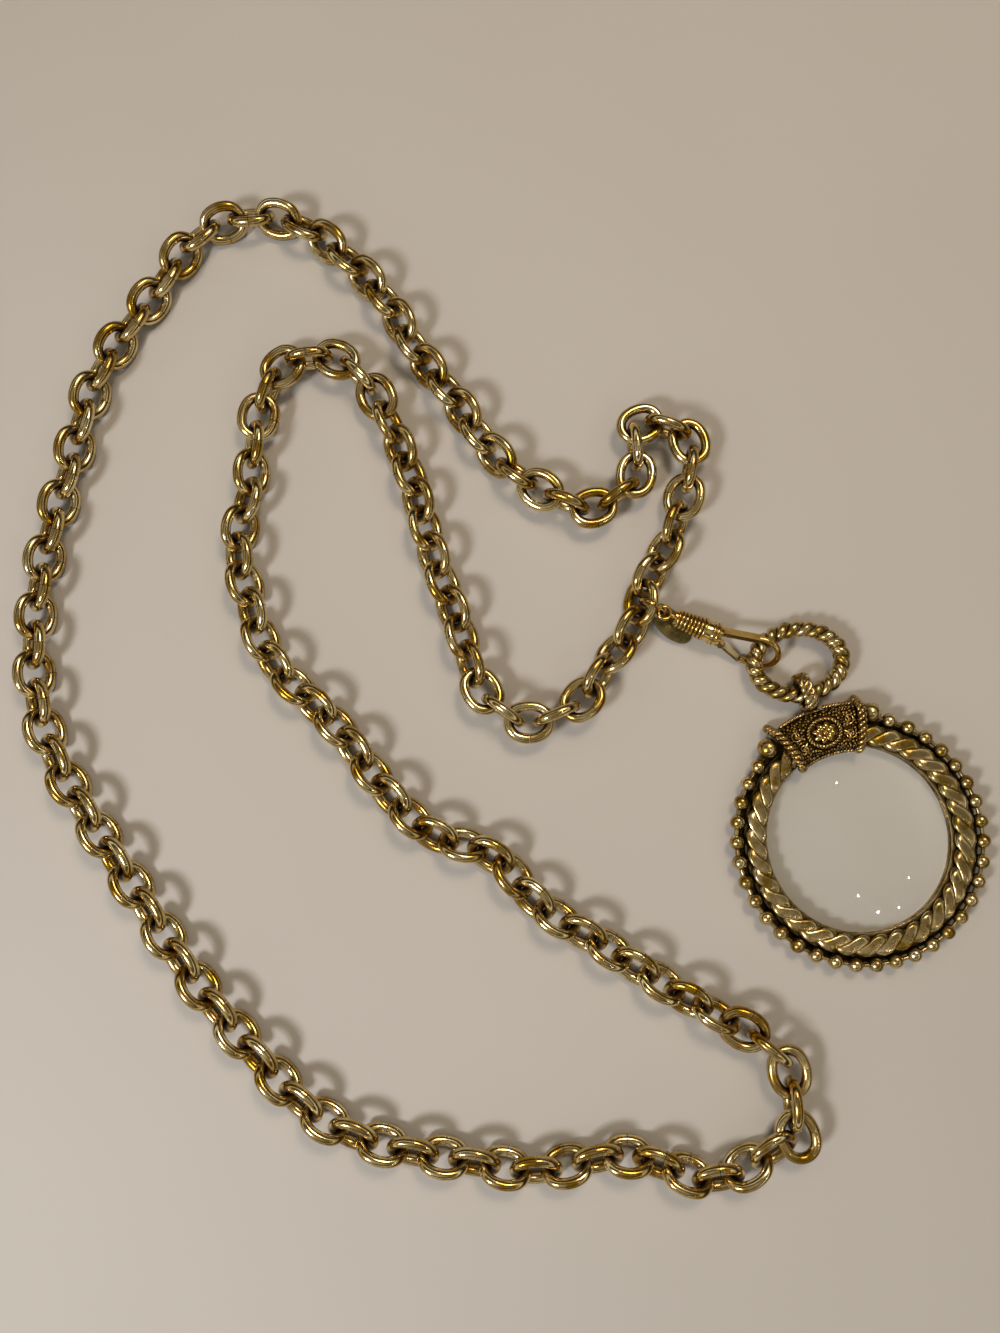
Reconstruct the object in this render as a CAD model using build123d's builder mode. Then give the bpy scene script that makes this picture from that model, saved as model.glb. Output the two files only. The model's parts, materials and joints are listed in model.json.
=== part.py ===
from build123d import *
from math import atan2, ceil, copysign, cos, degrees, hypot, radians, sin
import os

os.makedirs("parts", exist_ok=True)

# Frame of the part: the lens axis meets the cloth at the origin, +Y runs to the bail, +Z is up

# Chain links, all alike
wire_diameter = 2.4
link_length = 12.0
link_width = 10.0
link_side_bow = 0.2
link_play = 0.3
seam_gap = 0.12
pitch = link_length - 2 * wire_diameter - link_play
rest_height = 0.1
link_count_a = 80
link_count_b = 58
half_turn = 180.0
quarter_turn = 90.0
link_roll = 45.0

# Lens, the ring that holds it from behind, and the frame round both
lens_radius = 22.6
lens_edge = 1.2
lens_crown = 2.2
lens_clearance = 0.2
retainer_thickness = 0.8
retainer_width = 1.5
retainer_clearance = 0.1
lens_floor = retainer_thickness + retainer_clearance
rebate_radius = lens_radius + lens_clearance
rebate_clearance = 0.3
rebate_depth = lens_floor + lens_edge + rebate_clearance
retainer_outer_radius = rebate_radius - retainer_clearance
retainer_inner_radius = retainer_outer_radius - retainer_width
frame_lip = 1.4
frame_lip_thickness = 0.6
frame_inner_radius = rebate_radius - frame_lip
frame_thickness = rebate_depth + frame_lip_thickness
edge_break = 0.3
overrun = 2.0

# Rope band round the lens
band_setback = 0.2
band_width = 4.8
band_height = 1.8
band_round = 1.2
band_lozenges = 36
band_groove = 1.3
band_slant = 38.0
band_inner_radius = frame_inner_radius + band_setback
band_outer_radius = band_inner_radius + band_width

# Bead row on the frame's shelf
shelf_height = 1.3
shelf_width = 1.8
shelf_clearance = 0.1
shelf_radius = band_outer_radius + shelf_clearance
frame_outer_radius = shelf_radius + shelf_width
bead_diameter = 3.5
bead_clearance = 0.15
bead_count = 32
bead_wire_diameter = 0.9
bead_start_angle = 26.0
bead_circle_radius = band_outer_radius + bead_diameter / 2 + bead_clearance
bead_height = shelf_height + bead_diameter / 2 + bead_clearance
big_bead_diameter = 4.8
big_bead_offset = 0.5
big_bead_rise = 0.05
big_bead_circle_radius = band_outer_radius + big_bead_diameter / 2 + big_bead_offset
big_bead_height = shelf_height + big_bead_diameter / 2 + big_bead_rise

# Clamp casting over the frame
clamp_half_angle = 18.5
clamp_wall = 0.6
clamp_clearance = 0.1
clamp_skirt = 0.1
clamp_overhang = 1.8
clamp_rise = 1.4
clamp_inner_slope = 1.5
clamp_outer_slope = 1.6
clamp_inner_radius = band_inner_radius - clamp_clearance - clamp_wall
clamp_outer_radius = frame_outer_radius + clamp_overhang + clamp_wall
clamp_inner_drop = frame_thickness + clamp_clearance
clamp_shoulder = frame_thickness + band_height + clamp_clearance
clamp_top = clamp_shoulder + clamp_rise
clamp_flat_inner = clamp_inner_radius + clamp_inner_slope
clamp_flat_outer = clamp_outer_radius - clamp_outer_slope
border_lap_angle = 1.1
border_angle = clamp_half_angle + border_lap_angle
border_diameter = 1.7
border_pitch = 1.05
trim_diameter = 1.0
trim_pitch = 0.8
trim_margin_angle = 2.8
trim_bail_angle = 4.8
rivet_angle = 14.0
rivet_diameter = 0.7
rivet_height = 0.6
rivet_depth = 1.3
rivet_head_diameter = 1.3
rivet_inner_radius = frame_outer_radius - rivet_depth
scroll_radius = 1.45
scroll_wire_diameter = 0.56
boss_length = 8.6
boss_width = 7.2
boss_rim = 0.75
boss_rim_height = 0.95
boss_floor_height = 0.4
boss_dome_height = 0.8
boss_dome_taper = 32.0
boss_offset = 0.15
boss_radius = (clamp_flat_inner + clamp_flat_outer) / 2 - boss_offset

# Bail and its collar
bail_height = 3.8
bail_bore = 4.6
bail_slot = 6.6
bail_wall = 1.3
bail_width = 3.3
bail_round = 0.6
bail_stem_diameter = 2.0
bail_stem_depth = 0.8
bail_stem_root = clamp_outer_radius - bail_stem_depth
collar_height = 0.5
collar_root_diameter = 3.9
collar_end_diameter = 3.1
bail_start = clamp_outer_radius + collar_height
bail_middle = bail_start + bail_wall + bail_slot / 2

# Rope ring
ring_shift = 1.1
ring_major = 10.35
ring_minor = 7.75
ring_drop = 0.55
ring_center_x = ring_shift
ring_center_y = bail_middle + ring_minor - ring_drop
ring_height = bail_height
ring_turn = -11.0
rope_diameter = 4.1
rope_lobe_pitch = 2.6
rope_lobe_thickness = 2.9
rope_lobe_tilt = 40.0

# Swivel clasp, laid out along its own axis from the barrel's end
clasp_back = 15.64
clasp_side = 12.02
clasp_rise = 0.26
clasp_x = ring_center_x - clasp_back
clasp_y = ring_center_y + clasp_side
clasp_height = ring_height + clasp_rise
clasp_heading = -41.7
clasp_dip = 1.45
hook_roll = 50.0
barrel_length = 11.0
barrel_start_radius = 1.75
barrel_end_radius = 2.55
stem_diameter = 1.2
stem_clearance = 0.4
stem_play = 0.3
barrel_bore = stem_diameter + stem_play
barrel_cavity = 2.6
barrel_cavity_start = 1.6
barrel_ribs = 8
rib_pitch = 0.93
rib_radius = 0.42
rib_start = 0.9
collar_length = 2.0
collar_radius = barrel_end_radius
collar_rib_radius = 0.35
stem_head_diameter = barrel_cavity - stem_clearance
stem_head_length = 0.9
eye_reach = 2.5
eye_offset = barrel_length + eye_reach
eye_radius = 1.45
eye_wire_diameter = 0.9
root_diameter = 2.6
root_length = 3.0
flange_diameter = 4.4
flange_length = 0.7
bar_start = 1.3
bar_thickness = 1.0
bar_width = 2.2
curl_center = 10.9
curl_radius = 4.0
curl_wire_diameter = 1.45
tip_end = 7.25
tongue_thickness = 1.3
tongue_radius = 0.7
gate_inset = 0.3
gate_lap = 0.25
gate_pivot_u = 1.6
gate_pivot_v = gate_inset - flange_diameter / 2
gate_end_u = tip_end - gate_lap
gate_end_v = -curl_radius
gate_thickness = 0.6
gate_ear = 0.45
gate_clearance = 0.05
gate_root = 0.95
gate_rivet_diameter = 0.6
gate_rivet_overhang = 0.12

# Split ring and hang tag
carrier_reach = 6.1
carrier_bearing = -45.5
split_radius = 3.2
split_wire_diameter = 1.0
split_rise = 24.0
split_gap = 0.3
tag_length = 12.6
tag_width = 6.1
tag_thickness = 0.4
tag_hole_diameter = 3.0
tag_hole_margin = 2.1
tag_mark_diameter = 0.8
tag_mark_share = 0.3
tag_ring_angle = -60.0
tag_turn = -15.5
tag_dip = 11.0

# Derived sizes
full_turn = 2 * half_turn
wire_radius = wire_diameter / 2
half_length = link_length / 2 - wire_radius
half_width = link_width / 2 - wire_radius
link_end_radius = half_width - link_side_bow
hang = 2 * half_length - pitch
near = half_length - hang
end_center = half_length - link_end_radius
side_radius = (end_center**2 + half_width**2 - link_end_radius**2) / (2 * (half_width - link_end_radius))
side_center = half_width - side_radius
end_angle = degrees(atan2(-side_center, end_center))

# Lay of the chain on the cloth, as shares of the pitch: branch a leaves the clasp link upwards
carrier_shares = (-4.188, 9.906)
carrier_heading = 63.0
lay_a_shares = (
    (-3.89, 10.32), (-3.17, 11.0), (-2.5, 11.62), (-1.74, 12.6), (-1.34, 13.17), (-0.69, 14.43),
    (-0.75, 15.07), (-1.96, 15.83), (-2.58, 15.66), (-2.76, 14.23), (-3.16, 13.76), (-4.58, 13.5),
    (-5.16, 13.62), (-6.11, 14.67), (-6.52, 15.19), (-6.99, 15.95), (-7.38, 16.85), (-7.93, 18.93),
    (-8.59, 20.86), (-9.0, 22.97), (-9.87, 25.02), (-11.07, 26.8), (-12.78, 27.71), (-14.74, 27.54),
    (-16.35, 26.3), (-18.1, 25.0), (-19.84, 23.33), (-21.16, 21.17), (-22.4, 19.22), (-23.38, 17.43),
    (-24.18, 15.47), (-24.66, 13.39), (-24.62, 11.31), (-24.16, 9.29), (-23.6, 7.29), (-23.05, 5.32),
    (-22.45, 3.31), (-21.74, 1.39), (-20.89, -0.49), (-19.99, -2.24), (-18.59, -3.66), (-16.88, -4.74),
    (-15.13, -5.66), (-13.72, -6.38), (-12.43, -6.59), (-11.45, -6.7), (-10.55, -6.95), (-9.85, -7.45),
    (-9.22, -8.05), (-8.57, -8.44), (-7.88, -8.58), (-7.07, -8.44), (-6.24, -8.34),
)
lay_b_shares = (
    (-4.44, 9.51), (-5.12, 8.84), (-6.0, 8.3), (-6.77, 7.67), (-7.65, 7.21), (-8.57, 7.14),
    (-9.43, 7.33), (-10.03, 7.96), (-10.38, 8.94), (-10.35, 10.93), (-10.4, 13.34), (-10.24, 16.54),
    (-10.32, 18.63), (-10.48, 19.84), (-10.89, 20.95), (-11.65, 21.72), (-12.55, 22.03), (-13.45, 21.75),
    (-14.17, 20.99), (-14.83, 20.03), (-15.78, 17.81), (-16.68, 16.32), (-16.82, 14.7), (-16.89, 12.85),
    (-16.3, 11.02), (-15.36, 9.3), (-14.77, 7.5), (-14.07, 5.78), (-13.58, 4.92), (-12.82, 4.27),
    (-12.03, 3.79), (-11.49, 3.12), (-11.21, 2.3), (-10.87, 1.46), (-9.77, 0.13), (-8.49, -1.46),
    (-7.13, -3.07), (-6.24, -4.04), (-5.19, -5.2), (-4.9, -5.9), (-4.99, -6.42), (-5.38, -7.53),
    (-5.4, -8.11), (-5.35, -9.06),
)

# Links that lie flat where the chain turns sharply, and the first link of every hinged length
flat_index_a = (6, 8, 10, 12)
flat_index_b = (6, 21, 23, 56, 58)
start_index_a = (1, 5, 10, 15, 20, 25, 30, 35, 40, 45, 50, 55, 60, 64, 69, 75)
start_index_b = (1, 6, 12, 17, 21, 27, 32, 36, 41, 46, 51, 57)
lean_reach = 3
refine_steps = 6


def base_roll(index, hand):
    return copysign(link_roll, 1 if index % 2 else -1) * hand


def lean(index, flats, hand):
    """Extra roll of a link near the flat ones."""
    best = 0.0
    for flat in flats:
        weight = max(0, 1 - max(0, abs(index - flat) - 1) / lean_reach)
        angle = -copysign(link_roll, base_roll(flat, hand)) * weight
        if abs(angle) > abs(best):
            best = angle
    return best


def walk(shares, count, hand, flats, start, heading):
    """Planes of the links of one branch: each link hangs in the one before it."""
    with BuildLine() as route:
        Spline(*[(start.X + (x - carrier_shares[0]) * pitch, start.Y + (y - carrier_shares[1]) * pitch)
                 for x, y in shares])
    lay = route.edge()
    rolls = [base_roll(i, hand) + lean(i, flats, hand) for i in range(count + 2)]
    level = [cos(radians(roll)) ** 2 for roll in rolls]
    rise = [link_roll + abs(lean(i, flats, hand)) for i in range(count + 2)]
    height = [rest_height + wire_radius + half_width * sin(radians(angle)) for angle in rise]
    pivot = start + heading * (near + hang * level[1])
    travel = 0.0
    planes = []
    for i in range(1, count + 1):
        back = half_length - hang * level[i]
        step = back + near + hang * level[i + 1]
        travel += step
        for _ in range(refine_steps):
            target = lay @ (travel / lay.length)
            target = Vector(target.X, target.Y, (height[i] + height[i + 1]) / 2)
            travel += step - (target - pivot).length
        target = lay @ (travel / lay.length)
        target = Vector(target.X, target.Y, (height[i] + height[i + 1]) / 2)
        ahead = (target - pivot).normalized()
        planes.append(link_plane(pivot + ahead * back, ahead, rolls[i]))
        pivot = pivot + ahead * step
    return planes


def link_plane(center, ahead, roll):
    """Plane with x along the link and y across it, rolled about its length."""
    side = Vector(0, 0, 1).cross(ahead).normalized()
    rise = ahead.cross(side)
    across = side * cos(radians(roll)) + rise * sin(radians(roll))
    return Plane(origin=center, x_dir=ahead, z_dir=ahead.cross(across))


def radial(angle):
    """Upright plane through the lens axis, x outwards at an angle from +Y towards +X."""
    outwards = Vector(sin(radians(angle)), cos(radians(angle)), 0)
    return Plane(origin=(0, 0, 0), x_dir=outwards, z_dir=outwards.cross(Vector(0, 0, 1)))


def polar(radius, angle, height):
    return Vector(radius * sin(radians(angle)), radius * cos(radians(angle)), height)


def ring_station(radius, angle, height):
    """Plane across a ring round the lens axis."""
    onwards = polar(1, angle + quarter_turn, 0)
    return Plane(origin=polar(radius, angle, height), x_dir=(0, 0, 1), z_dir=onwards)


def clasp_plane(along, roll):
    """Plane across the clasp's sides at a distance from the barrel's end, x along the clasp."""
    turn = radians(clasp_heading)
    dip = radians(clasp_dip)
    ahead = Vector(cos(turn) * cos(dip), sin(turn) * cos(dip), -sin(dip))
    side = Vector(-sin(turn), cos(turn), 0)
    rise = ahead.cross(side)
    across = side * cos(radians(roll)) + rise * sin(radians(roll))
    origin = Vector(clasp_x, clasp_y, clasp_height) + ahead * along
    return Plane(origin=origin, x_dir=ahead, z_dir=ahead.cross(across))


def clasp_end(along):
    """Plane across the clasp's axis, facing the hook's end."""
    base = clasp_plane(along, 0)
    return Plane(origin=base.origin, x_dir=base.y_dir, z_dir=base.x_dir)


def save(part, name):
    part.label = name
    export_step(part, f"parts/{name}.step")


# One chain link: round wire bent to an oval, with a butt seam in the middle of one side
seam_angle = degrees(seam_gap / 2 / side_radius)
with BuildPart() as link:
    with BuildLine() as link_wire:
        CenterArc((0, side_center), side_radius, quarter_turn + seam_angle,
                  quarter_turn - end_angle - seam_angle)
        CenterArc((-end_center, 0), link_end_radius, half_turn - end_angle, 2 * end_angle)
        CenterArc((0, -side_center), side_radius, half_turn + end_angle, half_turn - 2 * end_angle)
        CenterArc((end_center, 0), link_end_radius, -end_angle, 2 * end_angle)
        CenterArc((0, side_center), side_radius, end_angle, quarter_turn - end_angle - seam_angle)
    with BuildSketch(Plane(origin=link_wire.wire() @ 0, z_dir=link_wire.wire() % 0)):
        Circle(wire_radius)
    sweep(path=link_wire.wire())

# Clasp link of the chain
eye_center = clasp_plane(-eye_offset, 0).origin
carrier_x = eye_center.X - carrier_reach * cos(radians(carrier_bearing))
carrier_y = eye_center.Y - carrier_reach * sin(radians(carrier_bearing))
carrier_ahead = Vector(cos(radians(carrier_heading)), sin(radians(carrier_heading)), 0)
carrier_rise = half_width * sin(radians(link_roll))
carrier_center = Vector(carrier_x, carrier_y, rest_height + wire_radius + carrier_rise)
with BuildPart() as chain_carrier:
    with Locations(link_plane(carrier_center, carrier_ahead, -link_roll)):
        add(link.part)
save(chain_carrier.part, "chain_carrier")

# Hinged lengths of both branches
branches = (
    ("chain_a", lay_a_shares, link_count_a, 1, flat_index_a, start_index_a, carrier_ahead),
    ("chain_b", lay_b_shares, link_count_b, -1, flat_index_b, start_index_b, carrier_ahead * -1),
)
for name, shares, count, hand, flats, starts, heading in branches:
    planes = walk(shares, count, hand, flats, carrier_center, heading)
    stops = starts[1:] + (count + 1,)
    for number, (first, stop) in enumerate(zip(starts, stops), start=1):
        with BuildPart() as strand:
            for plane in planes[first - 1:stop - 1]:
                with Locations(plane):
                    add(link.part)
        save(strand.part, f"{name}{number:02d}")

# Lens: flat below, domed above
lens_top = lens_floor + lens_edge + lens_crown
dome_radius = (lens_radius**2 + lens_crown**2) / (2 * lens_crown)
dome_angle = degrees(atan2(lens_radius, dome_radius - lens_crown))
with BuildPart() as lens:
    with BuildSketch(Plane.XZ):
        with BuildLine():
            dome = CenterArc((0, lens_top - dome_radius), dome_radius, quarter_turn - dome_angle, dome_angle)
            Polyline(dome @ 1, (0, lens_floor), (lens_radius, lens_floor), dome @ 0)
        make_face()
    revolve(axis=Axis.Z)
save(lens.part, "lens")

# Back ring with a rebate for the lens and a shelf for the beads
with BuildPart() as lens_frame:
    with BuildSketch(Plane.XZ):
        with BuildLine():
            Polyline(
                (rebate_radius, 0), (frame_outer_radius, 0), (frame_outer_radius, shelf_height),
                (shelf_radius, shelf_height), (shelf_radius, frame_thickness),
                (frame_inner_radius, frame_thickness), (frame_inner_radius, rebate_depth),
                (rebate_radius, rebate_depth), close=True,
            )
        make_face()
    revolve(axis=Axis.Z)
    outer_edges = lens_frame.edges().filter_by(GeomType.CIRCLE).group_by(SortBy.RADIUS)[-1]
    chamfer(outer_edges, edge_break)
    for side in (-1, 1):
        with Locations(radial(side * rivet_angle)):
            with Locations(Location((rivet_inner_radius, rivet_height, 0), (0, quarter_turn, 0))):
                Cylinder(rivet_diameter / 2, overrun + frame_outer_radius - rivet_inner_radius,
                         align=(Align.CENTER, Align.CENTER, Align.MIN), mode=Mode.SUBTRACT)
save(lens_frame.part, "lens_frame")

# Retaining ring that holds the lens from behind
with BuildPart() as retaining_ring:
    Cylinder(retainer_outer_radius, retainer_thickness, align=(Align.CENTER, Align.CENTER, Align.MIN))
    Cylinder(retainer_inner_radius, retainer_thickness,
             align=(Align.CENTER, Align.CENTER, Align.MIN), mode=Mode.SUBTRACT)
save(retaining_ring.part, "retaining_ring")

# Flattened rope band: a rounded ring cut into slanted lozenges
with BuildPart() as rope_band:
    with BuildSketch(Plane.XZ):
        with Locations(((band_inner_radius + band_outer_radius) / 2, frame_thickness + band_height / 2)):
            Rectangle(band_outer_radius - band_inner_radius, band_height)
    revolve(axis=Axis.Z)
    top_edges = rope_band.faces().sort_by(Axis.Z)[-1].edges()
    fillet(top_edges, band_round)
    band_middle = (band_inner_radius + band_outer_radius) / 2
    with PolarLocations(band_middle, band_lozenges):
        with Locations(Location((0, 0, frame_thickness + band_height), (0, 0, band_slant))):
            Box(2 * (band_outer_radius - band_inner_radius), band_groove, band_groove,
                rotation=(quarter_turn / 2, 0, 0), mode=Mode.SUBTRACT)
save(rope_band.part, "rope_band")

# Row of beads on a wire, from one side of the clamp round to the other
bead_span = full_turn - 2 * bead_start_angle
bead_step = bead_span / (bead_count + 1)
with BuildPart() as bead_row:
    with BuildSketch(radial(-bead_start_angle)):
        with Locations((bead_circle_radius, bead_height)):
            Circle(bead_wire_diameter / 2)
    revolve(axis=Axis.Z, revolution_arc=bead_span)
    with Locations(*[ring_station(bead_circle_radius, bead_start_angle + bead_step * (k + 1), bead_height)
                     for k in range(bead_count)]):
        Sphere(bead_diameter / 2)
    with Locations(ring_station(big_bead_circle_radius, bead_start_angle, big_bead_height),
                   ring_station(big_bead_circle_radius, -bead_start_angle, big_bead_height)):
        Sphere(big_bead_diameter / 2)
save(bead_row.part, "bead_row")

# Flared rope borders over both ends of the clamp, as shares of its radial width and of its height
border_shares = ((1.18, 0.31), (1.05, 0.702), (0.946, 1.053), (0.747, 1.166), (0.296, 1.174),
                 (0.166, 1.066), (0.018, 0.89), (-0.034, 0.648))
clamp_width = clamp_outer_radius - clamp_inner_radius
with BuildPart() as clamp_borders:
    for side in (-1, 1):
        with BuildLine(radial(side * border_angle)) as border_wire:
            Spline(*[(clamp_inner_radius + out * clamp_width, up * clamp_top) for out, up in border_shares])
        border_path = border_wire.edge()
        border_steps = ceil(border_path.length / border_pitch)
        border_shares_along = [k / border_steps for k in range(border_steps + 1)]
        with Locations(*[Plane(origin=border_path @ share, z_dir=border_path % share)
                         for share in border_shares_along]):
            Sphere(border_diameter / 2)
save(clamp_borders.part, "clamp_borders")

# Clamp: a hollow saddle over the frame's top
with BuildPart() as clamp:
    with BuildSketch(radial(clamp_half_angle)):
        with BuildLine():
            Polyline(
                (clamp_outer_radius, clamp_skirt), (clamp_outer_radius, clamp_shoulder),
                (clamp_flat_outer, clamp_top), (clamp_flat_inner, clamp_top),
                (clamp_inner_radius, clamp_shoulder), (clamp_inner_radius, clamp_inner_drop),
                (clamp_inner_radius + clamp_wall, clamp_inner_drop),
                (clamp_inner_radius + clamp_wall, clamp_shoulder),
                (clamp_flat_inner, clamp_top - clamp_wall), (clamp_flat_outer, clamp_top - clamp_wall),
                (clamp_outer_radius - clamp_wall, clamp_shoulder),
                (clamp_outer_radius - clamp_wall, clamp_skirt), close=True,
            )
        make_face()
    revolve(axis=Axis.Z, revolution_arc=2 * clamp_half_angle)
    for side in (-1, 1):
        with Locations(radial(side * rivet_angle)):
            with Locations(Location((rivet_inner_radius, rivet_height, 0), (0, quarter_turn, 0))):
                Cylinder(rivet_diameter / 2, overrun + clamp_outer_radius - rivet_inner_radius,
                         align=(Align.CENTER, Align.CENTER, Align.MIN), mode=Mode.SUBTRACT)
    with Locations(Location((0, bail_stem_root, bail_height), (-quarter_turn, 0, 0))):
        Cylinder(bail_stem_diameter / 2, overrun,
                 align=(Align.CENTER, Align.CENTER, Align.MIN), mode=Mode.SUBTRACT)
    add(clamp_borders.part, mode=Mode.SUBTRACT)
save(clamp.part, "clamp")

# Two pins through the clamp's skirt into the frame's edge
with BuildPart() as clamp_rivets:
    for side in (-1, 1):
        with Locations(radial(side * rivet_angle)):
            with Locations(Location((rivet_inner_radius, rivet_height, 0), (0, quarter_turn, 0))):
                Cylinder(rivet_diameter / 2, clamp_outer_radius - rivet_inner_radius,
                         align=(Align.CENTER, Align.CENTER, Align.MIN))
            with Locations(Location((clamp_outer_radius, rivet_height, 0), (0, quarter_turn, 0))):
                Cylinder(rivet_head_diameter / 2 - edge_break / 2, edge_break,
                         align=(Align.CENTER, Align.CENTER, Align.MIN))
save(clamp_rivets.part, "clamp_rivets")

# Beaded trims along the inner and outer lower edges of the clamp, clear of the bail
trim_end = clamp_half_angle - trim_margin_angle
trims = (
    (clamp_inner_radius - trim_diameter / 2, clamp_shoulder - trim_diameter, -trim_end, trim_end),
    (clamp_outer_radius + trim_diameter / 2, clamp_shoulder, -trim_end, -trim_bail_angle),
    (clamp_outer_radius + trim_diameter / 2, clamp_shoulder, trim_bail_angle, trim_end),
)
with BuildPart() as edge_trims:
    for radius, height, low, high in trims:
        trim_steps = ceil(radians(high - low) * radius / trim_pitch)
        with Locations(*[ring_station(radius, low + (high - low) * k / trim_steps, height)
                         for k in range(trim_steps + 1)]):
            Sphere(trim_diameter / 2)
save(edge_trims.part, "edge_trims")

# One flat-bottomed scroll: three half turns of shrinking radius
scroll_shares = (1.0, 0.71, 0.42)
scroll_floor = clamp_top + scroll_wire_diameter / 4
with BuildPart() as scroll:
    with BuildLine(Plane.XY.offset(scroll_floor)) as scroll_wire:
        across = 0
        for turn, share in enumerate(scroll_shares):
            side = -1 if turn % 2 else 1
            if turn:
                across += side * (scroll_shares[turn - 1] - share) * scroll_radius
            CenterArc((across, 0), share * scroll_radius, turn * half_turn, half_turn)
    with BuildSketch(Plane(origin=scroll_wire.wire() @ 0, z_dir=scroll_wire.wire() % 0)):
        Circle(scroll_wire_diameter / 2)
    sweep(path=scroll_wire.wire())
    split(bisect_by=Plane.XY.offset(clamp_top), keep=Keep.TOP)

# Scrolls left and right on the clamp: share of the clamp's half angle, share of its outer radius
scroll_place_shares = ((0.77, 0.912), (0.76, 0.782))
with BuildPart() as scroll_filigree:
    with Locations(*[polar(out * clamp_outer_radius, turn * clamp_half_angle, 0)
                     for turn, out in scroll_place_shares]):
        add(scroll.part)
    mirror(about=Plane.YZ)
save(scroll_filigree.part, "scroll_filigree")

# Plain oval boss in the middle of the clamp
with BuildPart() as centre_boss:
    with BuildSketch(Plane.XY.offset(clamp_top)):
        with Locations((0, boss_radius)):
            Ellipse(boss_length / 2, boss_width / 2)
    extrude(amount=boss_rim_height)
    with BuildSketch(Plane.XY.offset(clamp_top + boss_floor_height)):
        with Locations((0, boss_radius)):
            Ellipse(boss_length / 2 - boss_rim, boss_width / 2 - boss_rim)
    extrude(amount=boss_rim_height, mode=Mode.SUBTRACT)
    with BuildSketch(Plane.XY.offset(clamp_top + boss_floor_height)):
        with Locations((0, boss_radius)):
            Ellipse(boss_length / 2 - 2 * boss_rim, boss_width / 2 - 2 * boss_rim)
    extrude(amount=boss_dome_height, taper=boss_dome_taper)
save(centre_boss.part, "centre_boss")

# Cast bail: an upright oval loop on a stem
bail_side = Plane(origin=(-bail_width / 2, bail_middle, bail_height), x_dir=(0, 1, 0), z_dir=(1, 0, 0))
with BuildPart() as bail:
    with BuildSketch(bail_side):
        SlotOverall(bail_slot + 2 * bail_wall, bail_bore + 2 * bail_wall)
    extrude(amount=bail_width)
    fillet(bail.faces().filter_by(Axis.X).edges(), bail_round)
    with BuildSketch(bail_side):
        SlotOverall(bail_slot, bail_bore)
    extrude(amount=bail_width, mode=Mode.SUBTRACT)
    with Locations(Location((0, bail_stem_root, bail_height), (-quarter_turn, 0, 0))):
        Cylinder(bail_stem_diameter / 2, bail_start + bail_wall / 2 - bail_stem_root,
                 align=(Align.CENTER, Align.CENTER, Align.MIN))
save(bail.part, "bail")

# Collar between the bail and the clamp
with BuildPart() as bail_collar:
    with Locations(Location((0, clamp_outer_radius, bail_height), (-quarter_turn, 0, 0))):
        Cone(collar_root_diameter / 2, collar_end_diameter / 2, bail_start - clamp_outer_radius,
             align=(Align.CENTER, Align.CENTER, Align.MIN))
        Cylinder(bail_stem_diameter / 2, bail_start - clamp_outer_radius,
                 align=(Align.CENTER, Align.CENTER, Align.MIN), mode=Mode.SUBTRACT)
save(bail_collar.part, "bail_collar")

# Twisted rope ring: slanted lobes set close together round an oval
ring_plane = Plane(origin=(ring_center_x, ring_center_y, ring_height),
                   x_dir=(cos(radians(ring_turn)), sin(radians(ring_turn)), 0), z_dir=(0, 0, 1))
lobe_half = rope_lobe_thickness / 2
lobe_cap_radius = ((rope_diameter / 2)**2 + lobe_half**2) / (2 * lobe_half)
with BuildPart() as rope_lobe:
    with Locations((0, 0, lobe_half - lobe_cap_radius)):
        Sphere(lobe_cap_radius)
    with Locations((0, 0, lobe_cap_radius - lobe_half)):
        Sphere(lobe_cap_radius, mode=Mode.INTERSECT)
with BuildLine(ring_plane) as ring_wire:
    EllipticalCenterArc((0, 0), ring_major, ring_minor, arc_size=full_turn)
ring_path = ring_wire.edge()
rope_lobes = round(ring_path.length / rope_lobe_pitch)
with BuildPart() as rope_ring:
    for k in range(rope_lobes):
        share = (k + 1 / 2) / rope_lobes
        along = ring_path % share
        sideways = Vector(0, 0, 1).cross(along)
        lobe_axis = along * cos(radians(rope_lobe_tilt)) + Vector(0, 0, 1) * sin(radians(rope_lobe_tilt))
        with Locations(Plane(origin=ring_path @ share, x_dir=sideways, z_dir=lobe_axis)):
            add(rope_lobe.part)
save(rope_ring.part, "rope_ring")

# Barrel of the clasp: a ribbed cone, bored for the swivel's stem
barrel_plane = clasp_plane(-barrel_length, 0)
barrel_body = barrel_length - collar_length
with BuildPart() as barrel:
    with BuildSketch(barrel_plane):
        with BuildLine():
            Polyline(
                (0, barrel_bore / 2), (0, barrel_start_radius), (barrel_body, barrel_end_radius),
                (barrel_body, barrel_cavity / 2), (barrel_cavity_start, barrel_cavity / 2),
                (barrel_cavity_start, barrel_bore / 2), close=True,
            )
        make_face()
        for k in range(barrel_ribs):
            along = rib_start + k * rib_pitch
            with Locations((along, barrel_start_radius + (barrel_end_radius - barrel_start_radius)
                            * along / barrel_body)):
                Circle(rib_radius)
    revolve(axis=Axis(barrel_plane.origin, barrel_plane.x_dir))
save(barrel.part, "barrel")

# End collar with two ribs
collar_plane = clasp_plane(-collar_length, 0)
with BuildPart() as end_collar:
    with BuildSketch(collar_plane):
        with Locations((collar_length / 2, (collar_radius + root_diameter / 2) / 2)):
            Rectangle(collar_length, collar_radius - root_diameter / 2)
        with Locations((collar_length / 4, collar_radius), (collar_length * 3 / 4, collar_radius)):
            Circle(collar_rib_radius)
    revolve(axis=Axis(collar_plane.origin, collar_plane.x_dir))
save(end_collar.part, "end_collar")

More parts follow.
